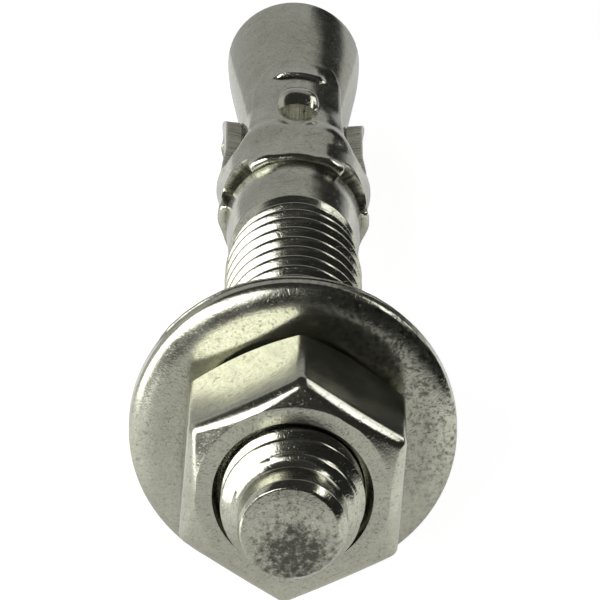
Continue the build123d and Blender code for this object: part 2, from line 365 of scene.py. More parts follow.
APOTHEM = 14.25 / 2  # half the width across flats
CORNER_ROUND = 0.75
NUT_TURN = 4.4  # of a corner past twelve o'clock
FACE_R = 6.35  # flat part of the near face
FACE_SLOPE = math.tan(math.radians(16))  # of the chamfer round it
EDGE_ROUND_FLAT = 1.15  # rounding of the chamfer's edge, in the middle of a flat
EDGE_ROUND_CORNER = 0.95
SEAT_R = 6.9  # flat part of the seat
SEAT_SLOPE = math.tan(math.radians(40))
SINK_R = 5.25  # countersinks at both ends of the bore
SINK_SLOPE = math.tan(math.radians(55))
NUT_CREST_R = 4.05
NUT_ROOT_R = 4.9
FLAT_COLUMNS = 15
CORNER_COLUMNS = 10
NEAR_FACE_ROWS = (SINK_R + 0.04, 5.6, 6.0, FACE_R - 0.03)  # distances from the axis
SEAT_ROWS = (SEAT_R - 0.05, 6.2, 5.6, SINK_R + 0.03)
CHAMFER_ROWS = (0.03, 0.3, 0.6, 0.9)  # shares of the way, from the near face to the seat
FLAT_ROWS = (0.02, 0.35, 0.7, 0.97, 1.0)
SEAT_CHAMFER_ROWS = (0.05, 0.5, 0.95, 1.0)
# Angle from the middle of a flat to where its corner starts to round
FLAT_REACH = math.degrees(math.atan((APOTHEM - CORNER_ROUND) * math.tan(math.radians(30)) / APOTHEM))


def hex_columns():
    """Clock angles of the nut's columns, closer together round the corners."""
    flat = list(np.linspace(-FLAT_REACH, FLAT_REACH, FLAT_COLUMNS))
    rounded = list(np.linspace(FLAT_REACH, 60 - FLAT_REACH, CORNER_COLUMNS))[1:-1]
    return np.array([NUT_TURN + 30 + 60 * side + a for side in range(6) for a in flat + rounded])


def hex_radius(clocks):
    """Distance of the rounded hexagon from the axis, and how near each column is to a corner."""
    off = np.abs((clocks - NUT_TURN) % 60 - 30)
    flat = APOTHEM / np.cos(np.radians(off))
    far = (APOTHEM - CORNER_ROUND) / math.cos(math.radians(30))
    from_corner = np.radians(30 - off)
    under_root = np.clip(CORNER_ROUND**2 - (far * np.sin(from_corner)) ** 2, 0, None)
    arc = far * np.cos(from_corner) + np.sqrt(under_root)
    return np.where(off > FLAT_REACH, arc, flat), np.clip(off / 30, 0, 1)


def nut_radius(clock, z):
    """Radius of the threaded bore and of the countersinks at its ends."""
    form = thread_form(clock, z, THREAD_R, THREAD_R - THREAD_DEPTH)
    bore = np.clip(form + 2 * THREAD_CLEARANCE, NUT_CREST_R, NUT_ROOT_R)
    away = np.minimum(z - NUT_SEAT, NUT_FACE - z)
    return np.maximum(bore, SINK_R - away / SINK_SLOPE)


def make_nut(material):
    """Helical rows in the bore, closed by one profile over face, chamfer, flats and seat."""
    skin = Skin()
    clocks = hex_columns()
    outline, cornered = hex_radius(clocks)
    skin.helix(NUT_SEAT, NUT_FACE, clocks, nut_radius)
    profile = [(r, NUT_FACE) for r in (SINK_R, *NEAR_FACE_ROWS)]
    edge = EDGE_ROUND_FLAT + (EDGE_ROUND_CORNER - EDGE_ROUND_FLAT) * cornered**2
    lean = math.atan(FACE_SLOPE)
    middle_r = outline - edge
    middle_z = NUT_FACE - (middle_r - FACE_R) * FACE_SLOPE - edge / math.cos(lean)
    start_r = middle_r + edge * math.sin(lean)
    for share in CHAMFER_ROWS:
        r = FACE_R + (start_r - FACE_R) * share
        profile.append((r, NUT_FACE - (r - FACE_R) * FACE_SLOPE))
    for turn in np.linspace(lean, math.pi / 2, 11):
        profile.append((middle_r + edge * math.sin(turn), middle_z + edge * math.cos(turn)))
    foot = NUT_SEAT + np.clip(outline - SEAT_R, 0, None) * SEAT_SLOPE
    for share in FLAT_ROWS:
        profile.append((outline, middle_z + (foot - middle_z) * share))
    for share in SEAT_CHAMFER_ROWS:
        r = outline + (SEAT_R - outline) * share
        profile.append((r, NUT_SEAT + (r - SEAT_R) * SEAT_SLOPE))
    profile += [(r, NUT_SEAT) for r in (*SEAT_ROWS, SINK_R)]
    loops = [skin.ring(r, clocks, z, run=run) for run, (r, z) in enumerate(profile)]
    skin.chain(loops)
    return skin.build("nut_steel", [material])


# ---------------------------------------------------------------- washer

ROLL_ACROSS = 1.9  # width of the edge that stamping has rolled over
ROLL_DOWN = 0.75
BORE_ROUND = 0.3
BURR = 0.1
BURR_FROM, BURR_TO = -54.0, 42.0  # clock angles
BURR_RISE, BURR_FALL = 2.0, 30.0  # angles over which it starts and ends
BURR_LEAST = 0.12  # share of the burr that is left elsewhere
WASHER_COLUMNS = 192
# Rim below the rolled edge: in from the rim, height over the washer's back and share of burr
RIM_ROWS = ((0.0, 0.5, 0), (0.0, 0.34, 0), (0.0, 0.28, 0.75), (0.0, 0.1, 1.0), (0.04, 0.02, 1.0))


def washer_rows():
    """Profile of the washer: (distance from its axis, height over its back, share of burr)."""
    thick = WASHER_FACE - WASHER_BACK
    rim = WASHER_R - BURR
    rows = [(WASHER_BORE + 0.05, 0.0, 0), (WASHER_BORE, 0.06, 0), (WASHER_BORE, thick - BORE_ROUND, 0)]
    for turn in np.radians(np.linspace(15, 90, 6)):
        down = BORE_ROUND * (1 - math.sin(turn))
        rows.append((WASHER_BORE + BORE_ROUND * (1 - math.cos(turn)), thick - down, 0))
    for r in np.linspace(WASHER_BORE + BORE_ROUND, rim - ROLL_ACROSS, 10)[1:]:
        rows.append((r, thick, 0))
    for turn in np.radians(np.linspace(5, 90, 18)):
        down = ROLL_DOWN * (1 - math.cos(turn))
        rows.append((rim - ROLL_ACROSS * (1 - math.sin(turn)), thick - down, 0))
    rows += [(rim - inwards, z, share) for inwards, z, share in RIM_ROWS]
    for r in np.linspace(rim - 0.2, WASHER_BORE + BORE_ROUND, 8):
        rows.append((r, 0.0, 0))
    return rows


def make_washer(material):
    """The profile turned round, with a ragged burr along a part of the rim."""
    skin = Skin()
    clocks = np.arange(WASHER_COLUMNS) * 360 / WASHER_COLUMNS
    signed = (clocks + 180) % 360 - 180
    rise = np.clip((signed - BURR_FROM) / BURR_RISE, 0, 1)
    rise = rise * np.clip((BURR_TO - signed) / BURR_FALL, 0, 1)
    ragged = 1 + 0.15 * np.sin(signed * 0.9) + 0.1 * np.sin(signed * 2.3 + 1)
    burr = BURR * np.clip(BURR_LEAST + (1 - BURR_LEAST) * rise * ragged / 1.25, 0, 1)
    loops = []
    for run, (r, z, share) in enumerate(washer_rows()):
        loops.append(skin.ring(r + burr * share, clocks, WASHER_BACK + z, (0, WASHER_UP), run=run))
    skin.chain(loops + loops[:1])
    return skin.build("washer_steel", [material], sharp=35)


# ---------------------------------------------------------------- clip

# Places in the flat sheet are (u, z): u runs round it from the middle of the top plate.
SHEET = 1.22  # thickness
BORE_R = 3.71
SHEET_R = BORE_R + SHEET
MM_PER_DEGREE = math.radians(1) * SHEET_R
CLIP_TURN = 3.2  # of the top plate past twelve o'clock
PLATES = (-1, 0, 1)  # 0 is the top plate
PLATE_TURN = 120  # from one plate to the next
SLOT_HALF = 19.3  # half the angle of the slots between the plates
PLATE_HALF = PLATE_TURN / 2 - SLOT_HALF
SEAM = 0.55  # gap at the back, where the sheet's ends meet
NOTCH_DEPTH = 1.75
WEB_WIDTH = 3.2  # of the bridges between the plates, along the stud
WEB_TOP = CLIP_EDGE - NOTCH_DEPTH
WEB_LOW = WEB_TOP - WEB_WIDTH
NOTCH_CORNER = 0.6
SLOT_CORNER = 1.55
TIP_CORNERS = {  # length and width of each plate's left and right corner
    -1: ((3.4, 1.3), (3.2, 1.1)),
    0: ((4.6, 2.0), (2.9, 0.95)),
    1: ((2.4, 1.0), (3.4, 1.3)),
}
TIP_CURVE = 2.2  # exponent of the corners' curve
TIP_CURVED = 0.93  # share of a corner's length that the curve takes up
TIP_ROUND = ((0.22, 0.07), (0.5, 0))  # points after it: in from its end, and up from the tip

# Edges of the sheet
LIP_RISE = 0.12  # of the plates' rolled edge towards the collar
LIP_START = 0.9  # from the sheet's end to where it starts to rise
LIP_LENGTH = 0.6
LIP_FADE = 4  # angle over which it fades at the plate's sides
EDGE_ROUND = 0.39  # radius of that edge
EDGE_BREAK = 0.12  # radius of the worn edges
EASED = 1 - math.sqrt(0.5)  # share of a quarter round's radius lost at its middle
WALL_ROWS = (0.3, 0.6, 0.92)  # shares of the way down the sheared wall

# Plates where they lie on the cone
CONE_GAP = 0.05
FLARE_SOFT = 30  # sharpness of the bend out of the cylinder

# Swellings beside the webs and rise of the plates towards them
SHOULDER_OFFSET = 2.6  # from the stud's axis to the swellings' own centres
SHOULDER_ANGLE = 28.5  # from the middle of a web
SHOULDER_RISE = 0.22  # at the webs
BULGE_RISE = 0.56  # at the slots' ends
BULGE_LENGTH = 0.62  # share of the web's width
SWELLING_SOFT = 9.0  # sharpness of the blend between plate and shoulder
SIDE_RISE = 0.25  # of the plate beside the tab, towards the shoulders
SIDE_START = 14  # angle from the plate's middle to where it starts to rise
SIDE_SPREAD = 14
SIDE_BEHIND, SIDE_LENGTH = 2, 4  # start behind the tab's sheared face and length along the plate

# Tab, the hollow in front of it and the ridge near the tip
BUMP_Z = CLIP_EDGE - 8.65
BUMP_TURN = 1.0
BUMP_HALF = 1.5
BUMP_HEIGHT = 0.88
BUMP_LENGTH = 2.9
BUMP_ROLL = 1.4  # length of the rolled-over front
BUMP_DROP = 0.62  # of its sheared edge under the tab's full height
BUMP_ARCH = (2.8, 2.6, 0.55)  # exponents of its arch: across, along and upwards
DIMPLE_DEPTH = 0.24
DIMPLE_LENGTH = 2.4
RIDGE_Z = CLIP_EDGE - 14.2
RIDGE_HALF = 24.0
RIDGE_HEIGHT = 0.3
RIDGE_LENGTH = 2.2
RIDGE_FADE = (12, 3.5)  # angles over which it fades at its left and right end
RIDGE_FRONT = (0.04, 0.16)  # its steep side: start before RIDGE_Z and length
RIDGE_ROWS = (0.12, 0.06, 0.0, -0.06, -0.12, -0.2)  # rows of points over it, from RIDGE_Z

# Mesh of the sheet
GRID = 0.3
FINE_GRID = 0.1  # on and before the tabs
GRID_GAP = 0.35  # between the two
CUT_POINTS = 31  # on each tab's sheared line
RIM_STEP = 0.22
RIM_GAP = 0.12  # between the rim and the points inside it
MITRE_LIMIT = 0.6  # cosine of half a corner's turn, under which it isn't moved in by the full depth
TOUCHING = 1e-6  # points and lines this close are taken as one


def corner(centre, radius, start, end, steps=6):
    """Points of an arc in the flat sheet, angles in degrees from +u."""
    turns = np.radians(np.linspace(start, end, steps))
    return [(centre[0] + radius * math.cos(t), centre[1] + radius * math.sin(t)) for t in turns]


def plate_side(side, corner_length, corner_width):
    """Free edge of a plate from the web to the tip, as (distance from its middle, z)."""
    edge = PLATE_HALF * MM_PER_DEGREE
    root = corner((edge + SLOT_CORNER, WEB_LOW - SLOT_CORNER), SLOT_CORNER, 90, 180, 10)
    start = CLIP_TIP + corner_length
    sweep = []
    for share in np.linspace(0, TIP_CURVED, 14):
        sweep.append((edge - corner_width * share**TIP_CURVE, start - share * corner_length))
    last_u = sweep[-1][0]
    sweep += [(last_u - inwards, CLIP_TIP + up) for inwards, up in TIP_ROUND]
    straight = [(edge, z) for z in np.linspace(WEB_LOW - SLOT_CORNER, start, 20)[1:-1]]
    return [(side * u, z) for u, z in root + straight + sweep]


def sheet_outline():
    """Outline of the flat sheet: along the three tips and back along the collar's side."""
    seam = 180 * MM_PER_DEGREE - SEAM / 2
    edge = PLATE_HALF * MM_PER_DEGREE
    plate = PLATE_TURN * MM_PER_DEGREE
    low, top = [], []
    for n in PLATES:
        left, right = (plate_side(side, *size) for side, size in zip((-1, 1), TIP_CORNERS[n]))
        low += [(n * plate + u, z) for u, z in left + right[::-1]]
    low += [(seam, WEB_TOP)]
    notch = WEB_TOP + NOTCH_CORNER
    for n in reversed(PLATES):
        far, near = n * plate + edge, n * plate - edge
        top += corner((far + NOTCH_CORNER, notch), NOTCH_CORNER, 270, 180)
        top += [(far, z) for z in np.linspace(notch, CLIP_EDGE, 7)[1:]]
        top += [(u, CLIP_EDGE) for u in np.linspace(far, near, 34)[1:-1]]
        top += [(near, z) for z in np.linspace(CLIP_EDGE, notch, 7)[:-1]]
        top += corner((near - NOTCH_CORNER, notch), NOTCH_CORNER, 0, -90)
    outline = np.array(low + top + [(-seam, WEB_TOP)])
    outline[:, 0] = np.clip(outline[:, 0], -seam, seam)
    return outline


def smoothstep(x):
    """Eases from 0 to 1 while x goes from 0 to 1."""
    x = np.clip(x, 0, 1)
    return x * x * (3 - 2 * x)


def across_plate(u):
    """Distance along the sheet from the middle of the nearest plate."""
    plate = PLATE_TURN * MM_PER_DEGREE
    return (u + plate / 2) % plate - plate / 2


def off_middle(u):
    """The same distance as an angle, whichever side it is to."""
    return np.abs(across_plate(u)) / MM_PER_DEGREE


def bump_height(u, z):
    """Raised tab: arched across, rolled over towards its sheared face, sloping away behind."""
    across, along, upwards = BUMP_ARCH
    s = (across_plate(u) - BUMP_TURN * MM_PER_DEGREE) / BUMP_HALF
    behind = np.clip((BUMP_Z - z) / BUMP_LENGTH, 0, 1)
    arch = np.clip(1 - np.abs(s) ** across - behind**along, 0, None) ** upwards
    rolled = BUMP_DROP * np.clip(1 - (BUMP_Z - z) / BUMP_ROLL, 0, 1) ** 2
    return np.clip(BUMP_HEIGHT * arch - rolled * (arch > 0), 0, None) * (z <= BUMP_Z + TOUCHING)


def dimple_depth(u, z):
    """Hollow in front of the tab's sheared face."""
    s = across_plate(u) - BUMP_TURN * MM_PER_DEGREE
    front = (z - BUMP_Z) / DIMPLE_LENGTH
    return DIMPLE_DEPTH * np.clip(1 - (s / BUMP_HALF) ** 2 - front**2, 0, None)


def ridge_height(u, z):
    """Low ridge near the tip, steep towards the nut."""
    s = across_plate(u) / MM_PER_DEGREE
    left, right = RIDGE_FADE
    ends = smoothstep((RIDGE_HALF - s) / right) * smoothstep((RIDGE_HALF + s) / left)
    start, length = RIDGE_FRONT
    front = smoothstep((RIDGE_Z + start - z) / length)
    back = np.clip(1 - (RIDGE_Z - z) / RIDGE_LENGTH, 0, 1)
    return RIDGE_HEIGHT * ends * front * back


def flare(z):
    """How far the sheet leans out near the tips, to lie on the cone."""
    slope = math.tan(math.radians(CONE_ANGLE))
    cone = NECK_R + (CONE_LENGTH - z) * slope + CONE_GAP
    return np.logaddexp(0, FLARE_SOFT * (cone - BORE_R)) / FLARE_SOFT


def shoulder_radius(u, z):
    """Radius of the swellings beside the webs."""
    clock = u / MM_PER_DEGREE
    bulge = BULGE_RISE * np.exp(-(((z - WEB_LOW) / (BULGE_LENGTH * WEB_WIDTH)) ** 2))
    pad = SHOULDER_RISE * smoothstep((z - WEB_LOW) / WEB_WIDTH)
    lobe_r = SHEET_R - SHOULDER_OFFSET + np.maximum(bulge, pad)
    best = np.zeros_like(z)
    for web in (-180, -60, 60, 180):
        for side in (-1, 1):
            off = np.radians(clock - web - side * SHOULDER_ANGLE)
            under_root = np.clip(lobe_r**2 - (SHOULDER_OFFSET * np.sin(off)) ** 2, 0, None)
            lobe = SHOULDER_OFFSET * np.cos(off) + np.sqrt(under_root)
            best = np.maximum(best, np.where(np.cos(off) > 0.5, lobe, 0))
    return best


def outer_radius(u, z, raised=True):
    """Radius of the clip's outer face. On the tab's sheared line it has two values."""
    side = smoothstep((off_middle(u) - SIDE_START) / SIDE_SPREAD)
    side = side * smoothstep((z - BUMP_Z + SIDE_BEHIND) / SIDE_LENGTH)
    plain = SHEET_R + flare(z) + SIDE_RISE * side
    swollen = softly(plain, shoulder_radius(u, z), 1, SWELLING_SOFT) - math.log(2) / SWELLING_SOFT
    r = np.maximum(plain, swollen) + ridge_height(u, z)
    r = r + (bump_height(u, z) if raised else -dimple_depth(u, z) * (z >= BUMP_Z - TOUCHING))
    on_plate = smoothstep((PLATE_HALF - off_middle(u)) / LIP_FADE)
    r = r + LIP_RISE * on_plate * smoothstep((z - CLIP_EDGE + LIP_START) / LIP_LENGTH)
    rolled = np.clip(z - (CLIP_EDGE - EDGE_ROUND), 0, EDGE_ROUND)
    return r - (EDGE_ROUND - np.sqrt(EDGE_ROUND**2 - rolled**2))


def resampled(line, step):
    """Closed line with no side longer than step."""
    points = []
    for a, b in zip(line, np.roll(line, -1, axis=0)):
        count = max(1, math.ceil(np.hypot(*(b - a)) / step))
        points += [a + (b - a) * k / count for k in range(count)]
    return np.array(points)


def inward(line, depth):
    """Closed line moved to its own left, which is its inside when it runs anticlockwise."""
    ahead = np.roll(line, -1, axis=0) - line
    ahead /= np.hypot(ahead[:, 0], ahead[:, 1])[:, None]
    behind = np.roll(ahead, 1, axis=0)
    along = ahead + behind
    normal = np.stack((-along[:, 1], along[:, 0]), axis=1)
    normal /= np.hypot(normal[:, 0], normal[:, 1])[:, None]
    lean = np.clip(normal[:, 0] * -ahead[:, 1] + normal[:, 1] * ahead[:, 0], MITRE_LIMIT, 1)
    return line + normal * (depth / lean)[:, None]


def inside(points, line, margin):
    """Which points lie inside a closed line, at least margin away from it."""
    a, b = line, np.roll(line, -1, axis=0)
    kept = []
    for x, y in points:
        spans = (a[:, 1] > y) != (b[:, 1] > y)
        height = np.where(spans, b[:, 1] - a[:, 1], 1)
        crossings = spans & (x < a[:, 0] + (y - a[:, 1]) * (b[:, 0] - a[:, 0]) / height)
        near = np.hypot(a[:, 0] - x, a[:, 1] - y).min() < margin
        kept.append(crossings.sum() % 2 == 1 and not near)
    return np.array(kept)


def sheet_points(rim):
    """Points over the flat sheet, closer together where it is shaped."""
    span = 180 * MM_PER_DEGREE
    us = np.arange(-span, span, GRID)
    zs = [CLIP_EDGE - EDGE_ROUND + EDGE_ROUND * math.sin(math.radians(t)) for t in range(0, 60, 12)]
    zs += [RIDGE_Z + d for d in RIDGE_ROWS]
    zs += list(np.arange(CLIP_TIP, RIDGE_Z - GRID, GRID))
    zs += list(np.arange(RIDGE_Z + GRID, CLIP_EDGE - EDGE_ROUND - GRID / 2, GRID))
    grid = np.array([(u, z) for z in zs for u in us])
    fine = np.arange(-BUMP_HALF - GRID, BUMP_HALF + GRID + FINE_GRID / 10, FINE_GRID)
    down = np.arange(FINE_GRID, BUMP_LENGTH + GRID, FINE_GRID)
    marks = np.array([(s, d) for d in np.concatenate((-down, down)) for s in fine])
    points = []
    for n in PLATES:
        middle = n * PLATE_TURN * MM_PER_DEGREE + BUMP_TURN * MM_PER_DEGREE
        off = np.abs(grid - (middle, BUMP_Z))
        grid = grid[(off[:, 0] > BUMP_HALF + GRID_GAP) | (off[:, 1] > BUMP_LENGTH + GRID_GAP)]
        points.append(marks + (middle, BUMP_Z))
    points = np.concatenate([grid] + points)
    return points[inside(points, rim, RIM_GAP)]


def sheared_lines():
    """The cut line of each tab in the flat sheet."""
    shares = np.linspace(-1, 1, CUT_POINTS)
    middles = [(n * PLATE_TURN + BUMP_TURN) * MM_PER_DEGREE for n in PLATES]
    return [[(m + BUMP_HALF * k, BUMP_Z) for k in shares] for m in middles]


def make_clip(surface, sheared):
    """The stamped sheet, cut out flat, then rolled round the neck."""
    outline = resampled(sheet_outline(), RIM_STEP)
    rim = inward(outline, EDGE_BREAK)
    count = len(rim)
    cuts = sheared_lines()
    flat = np.concatenate([rim] + [np.array(c) for c in cuts] + [sheet_points(rim)])
    firsts = [count + CUT_POINTS * n for n in range(len(cuts))]
    steps = [(k, k + 1) for first in firsts for k in range(first, first + CUT_POINTS - 1)]
    loop = [list(range(count))]
    found = delaunay_2d_cdt([Vector(p) for p in flat], steps, loop, 1, TOUCHING)
    spots = np.array([tuple(v) for v in found[0]])
    triangles = [tuple(t) for t in found[2]]
    now = {old: new for new, olds in enumerate(found[3]) for old in olds}
    skin = Skin()

    def lay(uv, r):
        """Points of the flat sheet, rolled to a radius."""
        clock = CLIP_TURN + uv[:, 0] / MM_PER_DEGREE
        return skin.add(polar(r, clock, uv[:, 1]), uv * (V_PER_MM, 1.0))

    # Outer face, which the sheared lines split, and lining
    raised = lay(spots, outer_radius(*spots.T, True))
    sunk = lay(spots, outer_radius(*spots.T, False))
    lining = lay(spots, BORE_R + flare(spots[:, 1]))
    for tri in triangles:
        face = raised if spots[list(tri), 1].mean() < BUMP_Z else sunk
        skin.faces.append(tuple(face[k] for k in tri))
        skin.faces.append(tuple(lining[k] for k in reversed(tri)))

    # Worn edge, then the sheared walls round the sheet and under the tabs
    high_r, low_r = outer_radius(*outline.T), BORE_R + flare(outline[:, 1])
    eased = inward(outline, EDGE_BREAK * EASED)
    worn = [[(raised if spots[now[k], 1] < BUMP_Z else sunk)[now[k]] for k in range(count)]]
    worn.append(lay(eased, outer_radius(*eased.T) - EDGE_BREAK * EASED))
    worn.append(lay(outline, high_r - EDGE_BREAK))
    wall = [worn[-1]] + [lay(outline, high_r + (low_r - high_r) * share) for share in WALL_ROWS]
    wall.append([lining[now[k]] for k in range(count)])
    skin.chain(worn)
    first_sheared = len(skin.faces)
    skin.chain(wall)
    for start, end in steps:
        a, b = now[start], now[end]
        skin.faces.append((sunk[a], sunk[b], raised[b], raised[a]))
    return skin.build("clip_steel", [surface, sheared], sharp=38, second_from=first_sheared)


# ---------------------------------------------------------------- materials

STEEL = (0.415, 0.417, 0.342)
SHEARED = (0.34, 0.34, 0.27)
# Tone of the dark patches: old dirt on the driving face; on the washer, patches that grow towards the
# right and up
DARK_PATCH_TINT = (0.05, 0.05, 0.04, 1)
CLOUDS, BLOTCHES, GRAINS, PITS = 0.35, 1.3, 6.0, 2.6  # patches per millimetre
MOST_NOISE = (0.3, 0.7)  # nearly all of a noise lies between these
PIT_LEVELS = (0.66, 0.73)
PIT_SHADE = 0.725  # tone in a pit, as a share
PIT_DEPTH = 0.4
SCRATCHES = 1.2  # patches per millimetre, before they are stretched
SCRATCH_STRETCH = (0.1, 4.5, 4.5)
SCRATCH_LEVELS = (0.67, 0.72)
SCRATCH_TURNS = (20.0, 65.0, 130.0)
SCRATCH_DEPTH = 0.3
SMUDGE_LEVELS = (0.17, -0.1)  # added to the dirt's noise in a smudge's middle and outside it
BUMP_SCALE = 0.00001  # metres for each unit of height


def add(tree, kind, inputs=(), **settings):
    """A node with its settings and inputs; a socket given as an input is linked."""
    made = tree.nodes.new(kind)
    for key, value in settings.items():
        setattr(made, key, value)
    for key, value in dict(inputs).items():
        if isinstance(value, bpy.types.NodeSocket):
            tree.links.new(value, made.inputs[key])
        else:
            made.inputs[key].default_value = value
    return made


def emptied(owner):
    """Node tree of a material or a world, without the nodes that it starts with."""
    owner.use_nodes = True
    owner.node_tree.nodes.clear()
    return owner.node_tree


def maths(tree, operation, *values):
    """Result of one Math node."""
    return add(tree, "ShaderNodeMath", enumerate(values), operation=operation).outputs[0]


def ramp(tree, value, low, high, to_low=0.0, to_high=1.0, smooth=False):
    """value from low..high to to_low..to_high."""
    kind = "SMOOTHSTEP" if smooth else "LINEAR"
    inputs = {"Value": value, "From Min": low, "From Max": high, "To Min": to_low, "To Max": to_high}
    return add(tree, "ShaderNodeMapRange", inputs, interpolation_type=kind).outputs[0]


def noise(tree, coords, per_mm, stretch=(1, 1, 1), detail=3.0, rough=0.6, turn=0.0):
    """Noise with about per_mm patches to the millimetre of the object, turned by some degrees."""
    inputs = {
        "Vector": coords,
        "Rotation": (math.radians(turn), 0, math.radians(turn)),
        "Scale": tuple(MM / (per_mm * s) for s in stretch),
    }
    moved = add(tree, "ShaderNodeMapping", inputs, vector_type="TEXTURE").outputs[0]
    inputs = {"Vector": moved, "Scale": 1.0, "Detail": detail, "Roughness": rough}
    return add(tree, "ShaderNodeTexNoise", inputs).outputs["Fac"]


def darken_in_patches(tree, coords, tint, darkening, smudge=None):
    """tint with dark patches that grow along a direction.

    The patches are given as their cover, their count per millimetre, the noise levels at which they
    start and are full, and a direction with two places along it, in millimetres, between which they
    grow. smudge is a place in the frame where they gather, with its size in millimetres.
    """
    cover, per_mm, starts_at, full_at, towards, low, high = darkening
    along = {0: coords, 1: tuple(towards)}
    along = add(tree, "ShaderNodeVectorMath", along, operation="DOT_PRODUCT").outputs["Value"]
    start = float(ORIGIN @ towards)
    grown = ramp(tree, along, start + low * MM, start + high * MM, 0.0, cover, smooth=True)
    patches = noise(tree, coords, per_mm, detail=7.0, rough=0.72)
    if smudge:
        centre, size = smudge
        away = {0: coords, 1: tuple(centre)}
        away = add(tree, "ShaderNodeVectorMath", away, operation="DISTANCE").outputs["Value"]
        near = ramp(tree, away, 0, size * MM, *SMUDGE_LEVELS, smooth=True)
        patches = maths(tree, "ADD", patches, near)
    share = maths(tree, "MULTIPLY", grown, ramp(tree, patches, starts_at, full_at, smooth=True))
    mixed = add(tree, "ShaderNodeMix", {"Factor": share, "A": tint, "B": DARK_PATCH_TINT}, data_type="RGBA")
    return mixed.outputs["Result"]


def steel(name, rough, colour=STEEL, grain=0.6, fleck=0.1, lines=(), darkening=None, smudge=None):
    """Plain stainless steel: cloudy tone, fine grain, pits, scratches, tool lines and dark patches (old
    dirt on the driving face).

    grain is a height and fleck a share of the tone. Each of lines is a height, a share of the tone
    and the patches for each turn or 10 mm, round and along. The dark patches and smudge are given as in
    the function above.
    """
    mat = bpy.data.materials.new(name)
    tree = emptied(mat)
    where = add(tree, "ShaderNodeTexCoord").outputs
    coords, around = where["Object"], where["UV"]
    cloud = noise(tree, coords, CLOUDS)
    blotch = noise(tree, coords, BLOTCHES)
    fine = noise(tree, coords, GRAINS, detail=2.0)
    pit = ramp(tree, noise(tree, coords, PITS, detail=1.0), *PIT_LEVELS, smooth=True)
    shade = ramp(tree, cloud, *MOST_NOISE, 0.9, 1.1)
    shade = maths(tree, "ADD", shade, ramp(tree, fine, *MOST_NOISE, -fleck, fleck))
    shade = maths(tree, "ADD", shade, ramp(tree, blotch, *MOST_NOISE, -fleck / 2, fleck / 2))
    shade = maths(tree, "MULTIPLY", shade, ramp(tree, pit, 0, 1, 1, PIT_SHADE))
    height = maths(tree, "MULTIPLY", fine, grain * 0.6)
    height = maths(tree, "SUBTRACT", height, maths(tree, "MULTIPLY", pit, PIT_DEPTH))
    height = maths(tree, "ADD", height, maths(tree, "MULTIPLY", blotch, grain))
    for turn in SCRATCH_TURNS:
        scratch = noise(tree, coords, SCRATCHES, SCRATCH_STRETCH, detail=1.0, turn=turn)
        scratch = ramp(tree, scratch, *SCRATCH_LEVELS, smooth=True)
        shade = maths(tree, "SUBTRACT", shade, maths(tree, "MULTIPLY", scratch, fleck * 1.6))
        height = maths(tree, "SUBTRACT", height, maths(tree, "MULTIPLY", scratch, SCRATCH_DEPTH))
    for deep, dark, per_round, per_along in lines:
        drawn = noise(tree, around, MM, (per_round, per_along, 1), detail=2.0)
        height = maths(tree, "ADD", height, maths(tree, "MULTIPLY", drawn, deep))
        shade = maths(tree, "ADD", shade, ramp(tree, drawn, 0.35, 0.65, -dark, dark))
    tint = add(tree, "ShaderNodeVectorMath", {0: colour, 3: shade}, operation="SCALE").outputs[0]
    if darkening:
        tint = darken_in_patches(tree, coords, tint, darkening, smudge)
    relief = add(tree, "ShaderNodeBump", {"Height": height, "Strength": 1.0, "Distance": BUMP_SCALE})
    inputs = {
        "Base Color": tint,
        "Metallic": 1.0,
        "Roughness": ramp(tree, cloud, *MOST_NOISE, rough * 0.85, rough * 1.2),
        "Normal": relief.outputs[0],
    }
    shader = add(tree, "ShaderNodeBsdfPrincipled", inputs)
    add(tree, "ShaderNodeOutputMaterial", {"Surface": shader.outputs[0]})
    return mat


# What steel() takes as dark patches, smudge and lines
FACE_DIRT = (0.9, 2.4, 0.4, 0.66, AXIS, TIP - 0.45, TIP - 0.3)
FACE_SMUDGE = (place((0.1, -1.6, TIP)), 3.8)
# Dark patches on the washer, which grow towards the right and up
WASHER_DARKENING = (0.85, 3.0, 0.46, 0.62, RIGHT + 0.5 * UP, 1, 12)
TURNED = (0.5, 0.05, 4, 90)  # round the stud
DRAWN = (0.4, 0.06, 12, 1.2)  # along the sheet
TORN = (4.0, 0.45, 65, 65)  # rough patches of the sheared walls

stud_look = {"lines": [TURNED], "darkening": FACE_DIRT, "smudge": FACE_SMUDGE}
stud_steel = steel("stud_steel", 0.16, grain=0.8, fleck=0.14, **stud_look)
clip_steel = steel("clip_steel", 0.16, grain=0.7, fleck=0.14, lines=[DRAWN])
clip_sheared = steel("clip_sheared", 0.28, SHEARED, grain=1.0, fleck=0.2, lines=[TORN])
washer_steel = steel("washer_steel", 0.2, grain=1.2, fleck=0.11, darkening=WASHER_DARKENING)
nut_steel = steel("nut_steel", 0.18, grain=0.8, fleck=0.1)

stud_piece = make_stud(stud_steel)
nut_piece = make_nut(nut_steel)
washer_piece = make_washer(washer_steel)
clip_piece = make_clip(clip_steel, clip_sheared)
PLACES = (
    (stud_piece, "stud", "stud", "stud_steel"),
    (clip_piece, "clip", "expansion_clip", "clip_steel"),
    (washer_piece, "washer", "washer", "washer_steel"),
    (nut_piece, "nut", "hex_nut", "nut_steel"),
)
for piece, body, node, finish in PLACES:
    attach(piece, body)
    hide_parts(node)


# ---------------------------------------------------------------- studio

